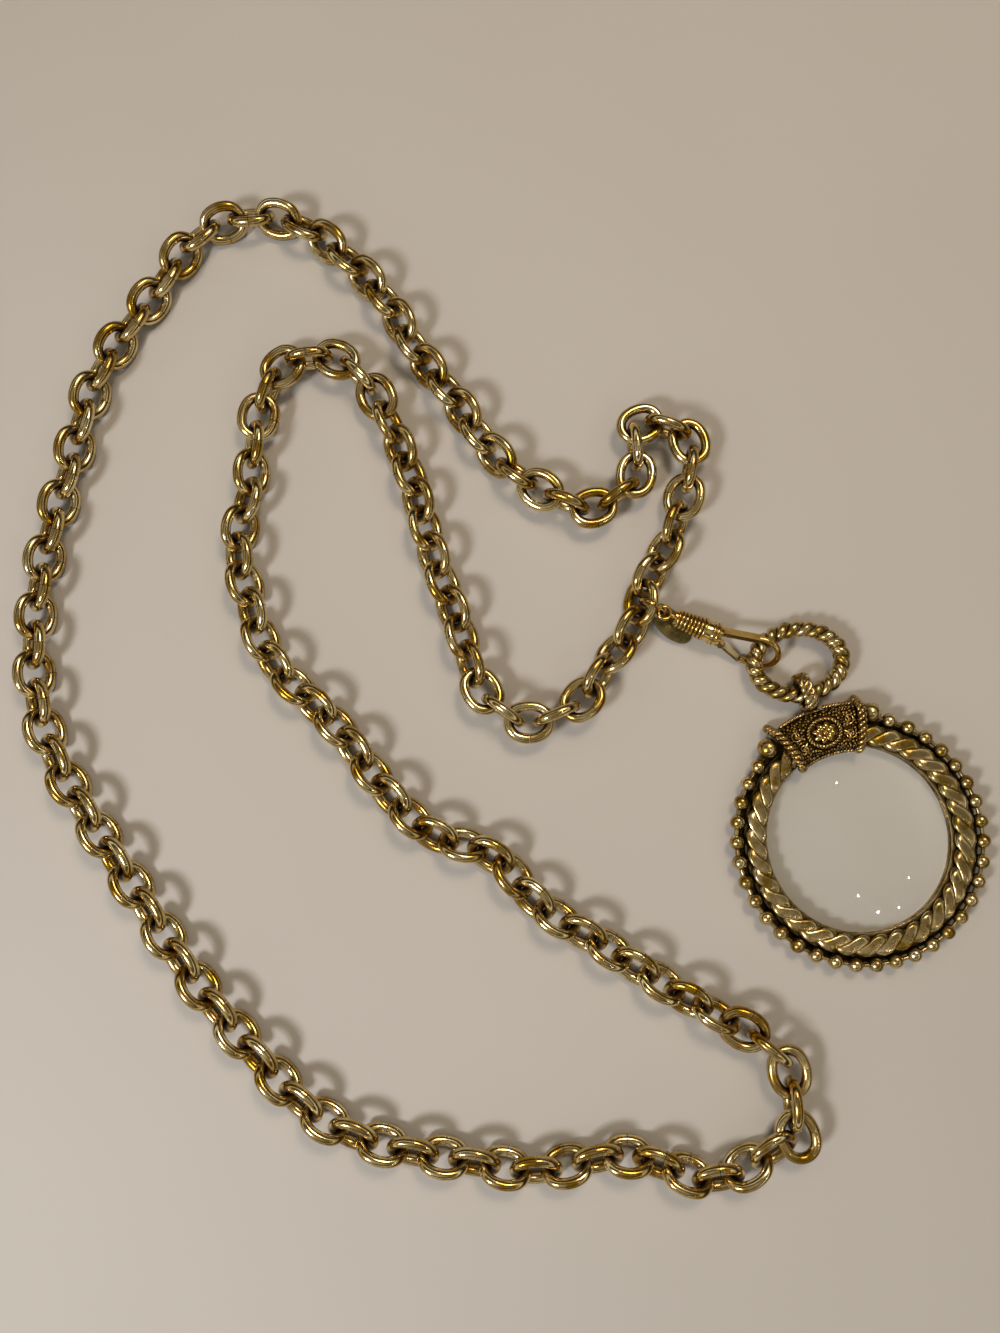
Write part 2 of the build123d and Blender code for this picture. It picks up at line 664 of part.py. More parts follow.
# Swivel: eye, stem and riveted head inside the barrel
eye_plane = clasp_plane(-eye_offset, 0)
stem_end = barrel_length - barrel_cavity_start - stem_clearance
stem_plane = clasp_end(-eye_offset)
head_plane = clasp_end(-stem_end)
with BuildPart() as swivel:
    with Locations(eye_plane):
        Torus(eye_radius, eye_wire_diameter / 2)
    with Locations(stem_plane):
        with Locations((0, 0, eye_radius)):
            Cylinder(stem_diameter / 2, eye_offset - eye_radius - stem_end,
                     align=(Align.CENTER, Align.CENTER, Align.MIN))
    with Locations(head_plane):
        Cylinder(stem_head_diameter / 2, stem_head_length,
                 align=(Align.CENTER, Align.CENTER, Align.MIN))
save(swivel.part, "swivel")

# Hook: root in the collar, flat bar over the rope, round curl and tip beneath it
hook_plane = clasp_plane(0, hook_roll)
bar_reach = hypot(curl_center, bar_start)
bar_angle = degrees(atan2(-bar_start, curl_center)) + degrees(
    atan2(curl_radius, (bar_reach**2 - curl_radius**2) ** (1 / 2)))
tangent_u = curl_center - curl_radius * sin(radians(bar_angle))
tangent_v = curl_radius * cos(radians(bar_angle))
root_axis = clasp_end(-root_length)
with BuildPart() as hook:
    with Locations(root_axis):
        Cylinder(root_diameter / 2, root_length + flange_length,
                 align=(Align.CENTER, Align.CENTER, Align.MIN))
        with Locations((0, 0, root_length)):
            Cylinder(flange_diameter / 2, flange_length, align=(Align.CENTER, Align.CENTER, Align.MIN))
    with BuildSketch(hook_plane.offset(-bar_width / 2)):
        with BuildLine():
            lift = Vector(-sin(radians(bar_angle)), cos(radians(bar_angle))) * (bar_thickness / 2)
            run = Vector(cos(radians(bar_angle)), sin(radians(bar_angle)))
            foot = Vector(0, bar_start) + run * (flange_length / 2)
            Polyline(
                foot + lift, Vector(tangent_u, tangent_v) + lift,
                Vector(tangent_u, tangent_v) - lift, foot - lift, close=True,
            )
        make_face()
    extrude(amount=bar_width)
    with BuildLine(hook_plane) as curl_wire:
        Line((tangent_u - bar_thickness * cos(radians(bar_angle)),
              tangent_v - bar_thickness * sin(radians(bar_angle))), (tangent_u, tangent_v))
        CenterArc((curl_center, 0), curl_radius, quarter_turn + bar_angle, -half_turn - bar_angle)
        Line((curl_center, -curl_radius), (tip_end, -curl_radius))
    curl_path = curl_wire.wire()
    with BuildSketch(Plane(origin=curl_path @ 0, z_dir=curl_path % 0)):
        Circle(curl_wire_diameter / 2)
    sweep(path=curl_path)
    with BuildSketch(hook_plane.offset(-tongue_thickness / 2)):
        with Locations((gate_pivot_u, gate_pivot_v)):
            Circle(tongue_radius)
        with Locations((gate_pivot_u / 2, gate_pivot_v)):
            Rectangle(gate_pivot_u, 2 * tongue_radius)
    extrude(amount=tongue_thickness)
    with Locations(hook_plane):
        with Locations((gate_pivot_u, gate_pivot_v)):
            Cylinder(gate_rivet_diameter / 2, bar_width, mode=Mode.SUBTRACT)
save(hook.part, "hook")

# Gate: flat strip with two ears round the hook's tongue
gate_slope = degrees(atan2(gate_end_v - gate_pivot_v, gate_end_u - gate_pivot_u))
gate_reach = hypot(gate_end_u - gate_pivot_u, gate_end_v - gate_pivot_v)
ear_inner = tongue_thickness / 2 + gate_clearance
gate_ahead = hook_plane.x_dir * cos(radians(gate_slope)) + hook_plane.y_dir * sin(radians(gate_slope))
gate_origin = hook_plane.origin + hook_plane.x_dir * gate_pivot_u + hook_plane.y_dir * gate_pivot_v
gate_plane = Plane(origin=gate_origin, x_dir=gate_ahead, z_dir=hook_plane.z_dir)
with BuildPart() as gate:
    with Locations(gate_plane):
        with Locations((gate_root, 0, 0)):
            Box(gate_reach - gate_root, gate_thickness, 2 * (ear_inner + gate_ear),
                align=(Align.MIN, Align.CENTER, Align.CENTER))
        for side in (-1, 1):
            with Locations((0, 0, side * (ear_inner + gate_ear / 2))):
                Cylinder(tongue_radius, gate_ear)
                Box(gate_root + gate_ear, gate_thickness, gate_ear,
                    align=(Align.MIN, Align.CENTER, Align.CENTER))
        Cylinder(gate_rivet_diameter / 2, 2 * bar_width, mode=Mode.SUBTRACT)
save(gate.part, "gate")

# Rivet of the gate
with BuildPart() as gate_rivet:
    with Locations(gate_plane):
        Cylinder(gate_rivet_diameter / 2, 2 * (ear_inner + gate_ear + gate_rivet_overhang))
save(gate_rivet.part, "gate_rivet")

# Split ring through the clasp link and the swivel's eye
ring_ahead = Vector(eye_center.X - carrier_center.X, eye_center.Y - carrier_center.Y, 0).normalized()
ring_rise = Vector(0, 0, 1)
split_center = carrier_center + (ring_ahead * cos(radians(split_rise))
                                 + ring_rise * sin(radians(split_rise))) * split_radius
split_plane = Plane(origin=split_center, x_dir=ring_ahead, z_dir=ring_ahead.cross(ring_rise))
split_gap_angle = degrees(split_gap / split_radius)
with BuildPart() as split_ring:
    with BuildLine(split_plane) as split_wire:
        CenterArc((0, 0), split_radius, quarter_turn + split_gap_angle / 2, full_turn - split_gap_angle)
    split_path = split_wire.wire()
    with BuildSketch(Plane(origin=split_path @ 0, z_dir=split_path % 0)):
        Circle(split_wire_diameter / 2)
    sweep(path=split_path)
save(split_ring.part, "split_ring")

# Oval hang tag threaded on the split ring, resting on the cloth
tag_hang = split_center + (ring_ahead * cos(radians(tag_ring_angle))
                           + ring_rise * sin(radians(tag_ring_angle))) * split_radius
tag_heading = radians(degrees(atan2(ring_ahead.Y, ring_ahead.X)) + tag_turn)
tag_ahead = Vector(cos(tag_heading) * cos(radians(tag_dip)), sin(tag_heading) * cos(radians(tag_dip)),
                   -sin(radians(tag_dip)))
tag_side = Vector(-sin(tag_heading), cos(tag_heading), 0)
tag_plane = Plane(origin=tag_hang, x_dir=tag_ahead, z_dir=tag_ahead.cross(tag_side))
with BuildPart() as hang_tag:
    with BuildSketch(tag_plane.offset(-tag_thickness / 2)):
        with Locations((tag_length / 2 - tag_hole_margin, 0)):
            Ellipse(tag_length / 2, tag_width / 2)
        Circle(tag_hole_diameter / 2, mode=Mode.SUBTRACT)
        with Locations((tag_length - tag_hole_margin - tag_length * tag_mark_share, 0)):
            Circle(tag_mark_diameter / 2, mode=Mode.SUBTRACT)
    extrude(amount=tag_thickness)
save(hang_tag.part, "hang_tag")
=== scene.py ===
"""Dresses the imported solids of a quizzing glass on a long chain, and lights and frames them.

Every length is written in millimetres and turned to metres where a mesh, lamp or camera is made.
Every angle that a class holds is in degrees.
"""

from __future__ import annotations

import json
import logging
import math
import random
from collections.abc import Callable, Sequence
from dataclasses import dataclass
from enum import Enum
from typing import Any

import bpy
import numpy as np
from mathutils import Matrix, Vector

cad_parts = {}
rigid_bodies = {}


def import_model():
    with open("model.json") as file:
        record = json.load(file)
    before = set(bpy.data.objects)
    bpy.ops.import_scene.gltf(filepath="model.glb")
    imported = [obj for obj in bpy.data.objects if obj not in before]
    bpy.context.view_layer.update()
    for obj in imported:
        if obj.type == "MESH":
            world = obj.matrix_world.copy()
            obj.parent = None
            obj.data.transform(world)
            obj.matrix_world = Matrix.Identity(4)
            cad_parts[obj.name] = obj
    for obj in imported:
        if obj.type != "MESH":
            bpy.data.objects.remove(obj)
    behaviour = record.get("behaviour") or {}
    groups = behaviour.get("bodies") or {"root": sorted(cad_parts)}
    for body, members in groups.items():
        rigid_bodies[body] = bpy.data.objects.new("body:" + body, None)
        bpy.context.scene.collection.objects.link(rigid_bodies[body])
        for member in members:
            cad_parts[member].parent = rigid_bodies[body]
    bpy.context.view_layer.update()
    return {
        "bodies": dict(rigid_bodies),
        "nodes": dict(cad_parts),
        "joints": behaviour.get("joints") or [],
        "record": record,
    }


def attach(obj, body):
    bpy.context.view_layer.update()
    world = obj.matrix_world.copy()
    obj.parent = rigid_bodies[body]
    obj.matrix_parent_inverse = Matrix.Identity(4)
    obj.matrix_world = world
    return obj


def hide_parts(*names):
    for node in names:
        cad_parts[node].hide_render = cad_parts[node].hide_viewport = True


LOG = logging.getLogger("quizzing_glass")
METRES_PER_MM = 0.001
FULL_TURN = math.tau
UPWARD = Vector((0, 0, 1))
SPLINE_STEPS = 16
SRGB_KNEE = 0.04045
SRGB_SLOPE = 12.92
SRGB_OFFSET = 0.055
SRGB_POWER = 2.4
HIGHEST_BYTE = 255


class MixSocket:
    """Socket numbers of a Mix node that blends two colours."""

    FACTOR = 0
    FIRST = 6
    SECOND = 7
    RESULT = 2


def metres(length: float) -> float:
    """Turn a length in millimetres to metres."""
    return length * METRES_PER_MM


def linear(colour: str) -> tuple[float, float, float, float]:
    """Turn an sRGB hex colour to the linear values that shaders use.

    Args:
        colour: Six hex digits after a hash.

    Returns:
        Linear red, green and blue, and an alpha of one.
    """
    parts = [int(colour[i : i + 2], 16) / HIGHEST_BYTE for i in (1, 3, 5)]
    red, green, blue = [
        part / SRGB_SLOPE if part <= SRGB_KNEE
        else ((part + SRGB_OFFSET) / (1 + SRGB_OFFSET)) ** SRGB_POWER
        for part in parts]
    return red, green, blue, 1.0


def add_node(
    tree: bpy.types.NodeTree,
    kind: str,
    inputs: dict[int | str, Any] | None = None,
    **settings: Any,
) -> bpy.types.Node:
    """Add a node, set its settings, and set or link its inputs.

    Args:
        tree: The node tree that gets the node.
        kind: The node's type, without the leading "ShaderNode".
        inputs: A value or an output socket for each input socket, by name or number.
        **settings: Values for the node's own properties.

    Returns:
        The new node.
    """
    node = tree.nodes.new("ShaderNode" + kind)
    for name, value in settings.items():
        setattr(node, name, value)
    for key, value in (inputs or {}).items():
        if isinstance(value, bpy.types.NodeSocket):
            tree.links.new(value, node.inputs[key])
        else:
            node.inputs[key].default_value = value
    return node


def blank_tree(owner: bpy.types.Material | bpy.types.World) -> bpy.types.NodeTree:
    """Clear the node tree of a new material or world.

    Args:
        owner: The material or world.

    Returns:
        Its tree, empty.
    """
    owner.use_nodes = True
    owner.node_tree.nodes.clear()
    return owner.node_tree


class Slot(Enum):
    """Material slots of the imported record."""

    GOLD = "gold"
    PATINA = "patina"
    CHAIN = "chain"
    CLASP = "clasp"
    TAG = "tag"
    GLASS = "glass"


@dataclass(frozen=True)
class PlatedMetal:
    """Gold-plated cast or drawn brass, antiqued with a dark wash and rubbed back.

    The dark colour goes where ambient occlusion finds little room, in hollows, between
    neighbouring parts and near the floor: partly the antiquing that the cloth can't reach, and
    partly painted shade. Open spots are mottled at random between the plate and the bright.
    Lengths are in millimetres. A span gives the values of the mottle, or of how open a spot lies,
    over which the metal changes.
    """

    name: str
    bright: str
    plate: str
    # Colour of the hollows: the antiquing together with painted shade
    wash_and_shade: str
    roughness: float
    mottle: float
    recess: float
    wash_and_shade_span: tuple[float, float] = (0.35, 0.85)
    # Pits and drawing scratches, drawn coarser than the real ones so that they show
    grain: float = 0.35
    grain_depth: float = 0.012
    grain_detail: float = 3.0
    bright_span: tuple[float, float] = (0.38, 0.64)
    gloss_span: tuple[float, float] = (0.3, 0.7)
    gloss_shares: tuple[float, float] = (1.35, 0.75)
    wash_roughness: float = 0.55
    mottle_detail: float = 4.0
    mottle_roughness: float = 0.6
    recess_samples: int = 8

    def material(self) -> bpy.types.Material:
        """Make the finish's node material.

        Returns:
            The material.
        """
        made = bpy.data.materials.new(self.name)
        tree = blank_tree(made)
        place = add_node(tree, "TexCoord").outputs["Object"]
        mottle = add_node(tree, "TexNoise", {
            "Vector": place, "Scale": 1 / metres(self.mottle), "Detail": self.mottle_detail,
            "Roughness": self.mottle_roughness})
        rubbed = add_node(tree, "MapRange", {
            "Value": mottle.outputs["Fac"],
            "From Min": self.bright_span[0], "From Max": self.bright_span[1]})
        plate = add_node(tree, "Mix", {
            MixSocket.FACTOR: rubbed.outputs["Result"],
            MixSocket.FIRST: linear(self.plate),
            MixSocket.SECOND: linear(self.bright)}, data_type="RGBA")
        # Painted shade: ambient occlusion, which also counts the floor and neighbouring parts,
        # darkens hollows and contact spots towards the dark colour; partly real antiquing, partly
        # painted shade
        open_to_cloth_and_light = add_node(tree, "AmbientOcclusion", {
            "Distance": metres(self.recess)}, samples=self.recess_samples)
        clean_and_lit = add_node(tree, "MapRange", {
            "Value": open_to_cloth_and_light.outputs["AO"],
            "From Min": self.wash_and_shade_span[0], "From Max": self.wash_and_shade_span[1]},
            interpolation_type="SMOOTHSTEP")
        colour = add_node(tree, "Mix", {
            MixSocket.FACTOR: clean_and_lit.outputs["Result"],
            MixSocket.FIRST: linear(self.wash_and_shade),
            MixSocket.SECOND: plate.outputs[MixSocket.RESULT]}, data_type="RGBA")
        gloss = add_node(tree, "MapRange", {
            "Value": mottle.outputs["Fac"],
            "From Min": self.gloss_span[0], "From Max": self.gloss_span[1],
            "To Min": self.roughness * self.gloss_shares[0],
            "To Max": self.roughness * self.gloss_shares[1]})
        dulled = add_node(tree, "MapRange", {
            "Value": clean_and_lit.outputs["Result"],
            "To Min": self.wash_roughness, "To Max": gloss.outputs["Result"]})
        grain = add_node(tree, "TexNoise", {
            "Vector": place, "Scale": 1 / metres(self.grain), "Detail": self.grain_detail})
        relief = add_node(tree, "Bump", {
            "Height": grain.outputs["Fac"], "Distance": metres(self.grain_depth),
            "Strength": 1.0})
        shader = add_node(tree, "BsdfPrincipled", {
            "Base Color": colour.outputs[MixSocket.RESULT],
            "Metallic": 1.0,
            "Roughness": dulled.outputs["Result"],
            "Normal": relief.outputs["Normal"]})
        add_node(tree, "OutputMaterial", {"Surface": shader.outputs["BSDF"]})
        return made


@dataclass(frozen=True)
class PolishedGlass:
    """Ground and polished crown glass: clear, with a faint grey cast and a hair of haze."""

    name: str
    tint: str = "#FAFCFB"
    index: float = 1.52
    smear: float = 9.0
    smear_detail: float = 3.0
    smear_span: tuple[float, float] = (0.45, 0.75)
    smear_roughness: float = 0.03

    def material(self) -> bpy.types.Material:
        """Make the finish's node material.

        Returns:
            The material.
        """
        made = bpy.data.materials.new(self.name)
        tree = blank_tree(made)
        place = add_node(tree, "TexCoord").outputs["Object"]
        smears = add_node(tree, "TexNoise", {
            "Vector": place, "Scale": 1 / metres(self.smear), "Detail": self.smear_detail})
        gloss = add_node(tree, "MapRange", {
            "Value": smears.outputs["Fac"],
            "From Min": self.smear_span[0], "From Max": self.smear_span[1],
            "To Min": 0.0, "To Max": self.smear_roughness})
        shader = add_node(tree, "BsdfPrincipled", {
            "Base Color": linear(self.tint),
            "Metallic": 0.0,
            "IOR": self.index,
            "Roughness": gloss.outputs["Result"],
            "Transmission Weight": 1.0})
        add_node(tree, "OutputMaterial", {"Surface": shader.outputs["BSDF"]})
        return made


@dataclass(frozen=True)
class PaleCloth:
    """Plain pale floor with a soft matt face."""

    name: str
    colour: str
    shade: str
    patch: float = 120.0
    patch_detail: float = 2.0
    roughness: float = 0.65

    def material(self) -> bpy.types.Material:
        """Make the finish's node material.

        Returns:
            The material.
        """
        made = bpy.data.materials.new(self.name)
        tree = blank_tree(made)
        place = add_node(tree, "TexCoord").outputs["Object"]
        patches = add_node(tree, "TexNoise", {
            "Vector": place, "Scale": 1 / metres(self.patch), "Detail": self.patch_detail})
        colour = add_node(tree, "Mix", {
            MixSocket.FACTOR: patches.outputs["Fac"],
            MixSocket.FIRST: linear(self.colour),
            MixSocket.SECOND: linear(self.shade)}, data_type="RGBA")
        shader = add_node(tree, "BsdfPrincipled", {
            "Base Color": colour.outputs[MixSocket.RESULT], "Roughness": self.roughness})
        add_node(tree, "OutputMaterial", {"Surface": shader.outputs["BSDF"]})
        return made


Finish = PlatedMetal | PolishedGlass | PaleCloth

# Drawn brass wire, plated in a greenish antique gold that turns to dark copper between the links:
# partly antiquing, partly painted shade
CHAIN_GOLD = PlatedMetal(
    "plated_chain_brass", bright="#E8D49E", plate="#A47E26", wash_and_shade="#361A02",
    roughness=0.17, mottle=7.0, recess=2.4, wash_and_shade_span=(0.35, 0.88))
# Cast brass, plated in olive gold, kept to the mottled plate on the tops of beads and strands and
# dark between them: partly antiquing, partly painted shade
CAST_GOLD = PlatedMetal(
    "plated_cast_brass", bright="#EAD29A", plate="#90732A", wash_and_shade="#180C02",
    roughness=0.24, mottle=3.0, recess=2.0, wash_and_shade_span=(0.35, 0.95))
# Cast brass under a heavy dark wash, bronze where it is rubbed
CLAMP_PATINA = PlatedMetal(
    "washed_clamp_brass", bright="#76592A", plate="#34240E", wash_and_shade="#100802",
    roughness=0.40, mottle=0.9, recess=1.2, grain=0.28, grain_depth=0.10)
# Raised wire work on the clamp, cast and rubbed: gold against the dark ground
FILIGREE_GOLD = PlatedMetal(
    "plated_filigree_brass", bright="#E2C17E", plate="#8C6C34", wash_and_shade="#1A0D04",
    roughness=0.24, mottle=1.2, recess=1.0, wash_and_shade_span=(0.35, 0.95))
# Granules on the washed ground: bronze, dark round their feet where they meet the ground: partly
# antiquing, partly painted shade
GRANULE_BRONZE = PlatedMetal(
    "washed_granule_brass", bright="#C9A55E", plate="#6C5224", wash_and_shade="#140A04",
    roughness=0.28, mottle=0.8, recess=0.7, wash_and_shade_span=(0.35, 0.95))
# Turned and polished brass with a fresh yellow plate
CLASP_GOLD = PlatedMetal(
    "plated_clasp_brass", bright="#E8CB82", plate="#C09A4C", wash_and_shade="#3A2206",
    roughness=0.15, mottle=5.0, recess=1.2)
# Rolled strip of the gate: a pale, mirror-smooth plate
GATE_GOLD = PlatedMetal(
    "plated_gate_strip", bright="#EADDB4", plate="#CDBB84", wash_and_shade="#5A451C",
    roughness=0.12, mottle=4.0, recess=0.5)
# Stamped sheet brass, worn to a dull olive brown
TAG_BRASS = PlatedMetal(
    "worn_tag_brass", bright="#857B4E", plate="#5C5333", wash_and_shade="#241F10",
    roughness=0.45, mottle=2.2, recess=0.5, grain_depth=0.03)
# Crown glass, ground convex and polished clear
LENS_GLASS = PolishedGlass("polished_lens_glass")
# Pale matt floor, slightly uneven in tone
FLOOR_CLOTH = PaleCloth("pale_floor", colour="#C9C4BB", shade="#C1BBB1")


class Dresser:
    """Hands out one material for each finish, made when it is first asked for."""

    def __init__(self) -> None:
        """Start with no materials made."""
        self._made: dict[str, bpy.types.Material] = {}

    def dress(self, piece: bpy.types.Object, finish: Finish) -> None:
        """Give a piece one finish all over.

        Args:
            piece: A mesh object.
            finish: The finish that it gets.
        """
        if finish.name not in self._made:
            self._made[finish.name] = finish.material()
        piece.data.materials.clear()
        piece.data.materials.append(self._made[finish.name])
        LOG.info("%s dressed in %s", piece.name, finish.name)


DRESSER = Dresser()


def heading(path: Sequence[Vector], at: int, closed: bool) -> Vector:
    """Give the direction of a path at one of its points.

    Args:
        path: The path's points.
        at: Which point is asked for.
        closed: Whether the path runs back into its start.

    Returns:
        A direction one long, from the point before to the point after.
    """
    count = len(path)
    after = path[(at + 1) % count] if closed or at < count - 1 else path[at]
    before = path[at - 1] if closed or at > 0 else path[at]
    return (after - before).normalized()


def square_to(along: Vector) -> Vector:
    """Give a direction at right angles to another, level where that can be.

    Args:
        along: The other direction, one long.

    Returns:
        A direction one long.
    """
    steep = 0.9
    spare = UPWARD if abs(along.z) < steep else Vector((1, 0, 0))
    return spare.cross(along).normalized()


def oval(middle: Vector, long_way: Vector, short_way: Vector, steps: int) -> list[Vector]:
    """Run round an oval.

    Args:
        middle: The oval's middle.
        long_way: From the middle to the first point.
        short_way: From the middle to the point a quarter turn on.
        steps: How many points there are.

    Returns:
        The points, once round.
    """
    turns = [FULL_TURN * i / steps for i in range(steps)]
    return [middle + long_way * math.cos(turn) + short_way * math.sin(turn) for turn in turns]


class Shape:
    """A mesh in the making, with its points in millimetres in the part's own axes."""

    def __init__(self) -> None:
        """Start with no points and no faces."""
        self.points: list[Vector] = []
        self.faces: list[tuple[int, ...]] = []

    def rings(self, rings: Sequence[Sequence[Vector]], closed: bool) -> None:
        """Skin a row of equal rings of points.

        Args:
            rings: The rings, each going round the same way.
            closed: Whether the last ring joins the first; otherwise both ends get a cap.
        """
        first, sides, count = len(self.points), len(rings[0]), len(rings)
        for ring in rings:
            self.points.extend(ring)
        for i in range(count if closed else count - 1):
            here, there = first + i * sides, first + (i + 1) % count * sides
            for j in range(sides):
                k = (j + 1) % sides
                self.faces.append((here + j, here + k, there + k, there + j))
        if not closed:
            last = first + (count - 1) * sides
            self.faces.append(tuple(range(first + sides - 1, first - 1, -1)))
            self.faces.append(tuple(range(last, last + sides)))

    def tube(
        self,
        path: Sequence[Vector],
        radius: float | Sequence[float],
        sides: int = 12,
        closed: bool = False,
        squash: float = 1.0,
        up: Vector | None = None,
    ) -> None:
        """Sweep a round or oval wire along a path.

        Args:
            path: Points along the wire's middle.
            radius: Its radius, or one for each point.
            sides: Points round the wire.
            closed: Whether the path runs back into its start.
            squash: The wire's share of its radius in the direction of up.
            up: The direction of the squash; without it the frame turns as little as it can.
        """
        radii = [radius] * len(path) if isinstance(radius, (int, float)) else list(radius)
        rings = []
        side = None
        for i, point in enumerate(path):
            along = heading(path, i, closed)
            if up is not None:
                side = up.cross(along).normalized()
            elif side is None:
                side = square_to(along)
            else:
                side = (side - along * side.dot(along)).normalized()
            lift = along.cross(side)
            rings.append(oval(point, side * radii[i], lift * (radii[i] * squash), sides))
        self.rings(rings, closed)

    def ball(self, centre: Vector, radius: float, pole: Vector, sides: int = 16) -> None:
        """Add a ball.

        Args:
            centre: Its middle.
            radius: Its radius.
            pole: The direction that its poles point in.
            sides: Points round it.
        """
        pole = pole.normalized()
        side = square_to(pole)
        lift = pole.cross(side)
        first = len(self.points)
        bands = sides // 2
        self.points.append(centre - pole * radius)
        for i in range(1, bands):
            slope = math.pi * i / bands
            level = centre - pole * (radius * math.cos(slope))
            reach = radius * math.sin(slope)
            self.points.extend(oval(level, side * reach, lift * reach, sides))
        self.points.append(centre + pole * radius)
        last = len(self.points) - 1
        for j in range(sides):
            k = (j + 1) % sides
            self.faces.append((first, first + 1 + k, first + 1 + j))
            low, high = first + 1 + (bands - 2) * sides + j, first + 1 + (bands - 2) * sides + k
            self.faces.append((last, low, high))
        for i in range(bands - 2):
            here, there = first + 1 + i * sides, first + 1 + (i + 1) * sides
            for j in range(sides):
                k = (j + 1) % sides
                self.faces.append((here + j, here + k, there + k, there + j))

    def bend(self, move: Callable[[Vector], Vector]) -> None:
        """Move every point so far.

        Args:
            move: Gives each point's new place.
        """
        self.points = [move(point) for point in self.points]

    def piece(
        self, name: str, finish: Finish, body: str, slot: Slot, replaces: Sequence[str] = ()
    ) -> bpy.types.Object:
        """Make the shape a piece of the scene, in metres, dressed and riding on its body.

        Args:
            name: The piece's name.
            finish: The finish that it gets.
            body: The body that it moves with.
            slot: Not used.
            replaces: Solids that it stands for.

        Returns:
            The new object.
        """
        mesh = bpy.data.meshes.new(name)
        mesh.from_pydata([point * METRES_PER_MM for point in self.points], [], self.faces)
        mesh.validate()
        mesh.update()
        mesh.shade_smooth()
        made = bpy.data.objects.new(name, mesh)
        bpy.context.scene.collection.objects.link(made)
        DRESSER.dress(made, finish)
        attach(made, body)
        if replaces:
            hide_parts(*replaces)
        LOG.info("%s: %d points on %s", name, len(self.points), body)
        return made


def around_lens(radius: float, angle: float, height: float) -> Vector:
    """Give the point at a radius and an angle about the lens's axis.

    Args:
        radius: Distance from the axis.
        angle: Radians from the bail's side, clockwise seen from the front.
        height: Height above the back.

    Returns:
        The point.
    """
    return Vector((radius * math.sin(angle), radius * math.cos(angle), height))


def smooth_run(corners: Sequence[Vector], steps: int) -> list[Vector]:
    """Run a smooth line through a few corners, in even steps of its length.

    Args:
        corners: Points that the line passes through.
        steps: How many steps the line is cut into.

    Returns:
        The points of the line.
    """
    line: list[Vector] = []
    ends = [corners[0] * 2 - corners[1], *corners, corners[-1] * 2 - corners[-2]]
    for a, b, c, d in zip(ends, ends[1:], ends[2:], ends[3:]):
        for i in range(SPLINE_STEPS):
            t = i / SPLINE_STEPS
            # Cubic that leaves b and meets c with the slopes of their neighbours
            line.append((b * 2 + (c - a) * t + (a * 2 - b * 5 + c * 4 - d) * t**2
                         + (b * 3 - a - c * 3 + d) * t**3) / 2)
    line.append(corners[-1].copy())
    gone = np.cumsum([0.0] + [(q - p).length for p, q in zip(line, line[1:])])
    even = np.linspace(0, gone[-1], steps + 1)
    parts = [np.interp(even, gone, [point[k] for point in line]) for k in range(3)]
    return [Vector(point) for point in zip(*parts)]


def twist(
    path: Sequence[Vector],
    up: Sequence[Vector],
    closed: bool,
    turns: float,
    offset: float,
    strands: int,
    lift_share: float = 1.0,
) -> list[list[Vector]]:
    """Lay strands round a path, as in a rope.

    Args:
        path: Points along the rope's middle.
        up: The outward direction at each point, square to the path.
        closed: Whether the path runs back into its start.
        turns: Turns of each strand over the whole path; negative for the other hand.
        offset: Distance of a strand's middle from the rope's.
        strands: How many strands there are.
        lift_share: The share of the offset that is left in the direction of up.

    Returns:
        One list of points for each strand.
    """
    steps = len(path) if closed else len(path) - 1
    laid: list[list[Vector]] = [[] for _ in range(strands)]
    for i, point in enumerate(path):
        left = up[i].cross(heading(path, i, closed)).normalized()
        share = i / steps
        for k in range(strands):
            turn = FULL_TURN * (share * turns + k / strands)
            laid[k].append(point + left * (offset * math.cos(turn))
                           + up[i] * (offset * lift_share * math.sin(turn)))
    return laid


@dataclass(frozen=True)
class Chain:
    """The long chain of oval links, and the one link that closes the loop."""

    wire_radius: float = 1.2
    half_length: float = 4.8
    half_width: float = 3.8
    end_radius: float = 3.6
    closing_place: tuple[float, float, float] = (-43.3, -56.9, 4.0)
    closing_turn: float = 13.0
    closing_roll: float = 45.0
    arc_steps: int = 24
    sides: int = 24

    def outline(self) -> list[tuple[float, float]]:
        """Trace a link's middle line.

        Returns:
            Its points, as distances along the link and across it.
        """
        end = self.half_length - self.end_radius
        side = (end**2 + self.half_width**2 - self.end_radius**2) / (
            2 * (self.half_width - self.end_radius))
        low = self.half_width - side
        corner = math.atan2(-low, end)
        # Each arc's middle, radius, start and sweep
        arcs = ((end, 0.0, self.end_radius, -corner, 2 * corner),
                (0.0, low, side, corner, math.pi - 2 * corner),
                (-end, 0.0, self.end_radius, math.pi - corner, 2 * corner),
                (0.0, -low, side, math.pi + corner, math.pi - 2 * corner))
        points = []
        for x, y, radius, start, sweep in arcs:
            for i in range(self.arc_steps):
                turn = start + sweep * i / self.arc_steps
                points.append((x + radius * math.cos(turn), y + radius * math.sin(turn)))
        return points

    def close(self) -> None:
        """Hang the last link between the ends of the two branches."""
        turn, roll = math.radians(self.closing_turn), math.radians(self.closing_roll)
        ahead = Vector((math.cos(turn), math.sin(turn), 0))
        left = Vector((-math.sin(turn), math.cos(turn), 0))
        across = left * math.cos(roll) + UPWARD * math.sin(roll)
        middle = Vector(self.closing_place)
        path = [middle + ahead * x + across * y for x, y in self.outline()]
        shape = Shape()
        shape.tube(path, self.wire_radius, self.sides, closed=True)
        shape.piece("closing_link", CHAIN_GOLD, "chain_a16", Slot.CHAIN)

    def build(self, frame: dict[str, Any]) -> None:
        """Dress the links and hang the closing one.
        """
        for name, node in frame["nodes"].items():
            if name.startswith("chain_"):
                DRESSER.dress(node, CHAIN_GOLD)
        self.close()


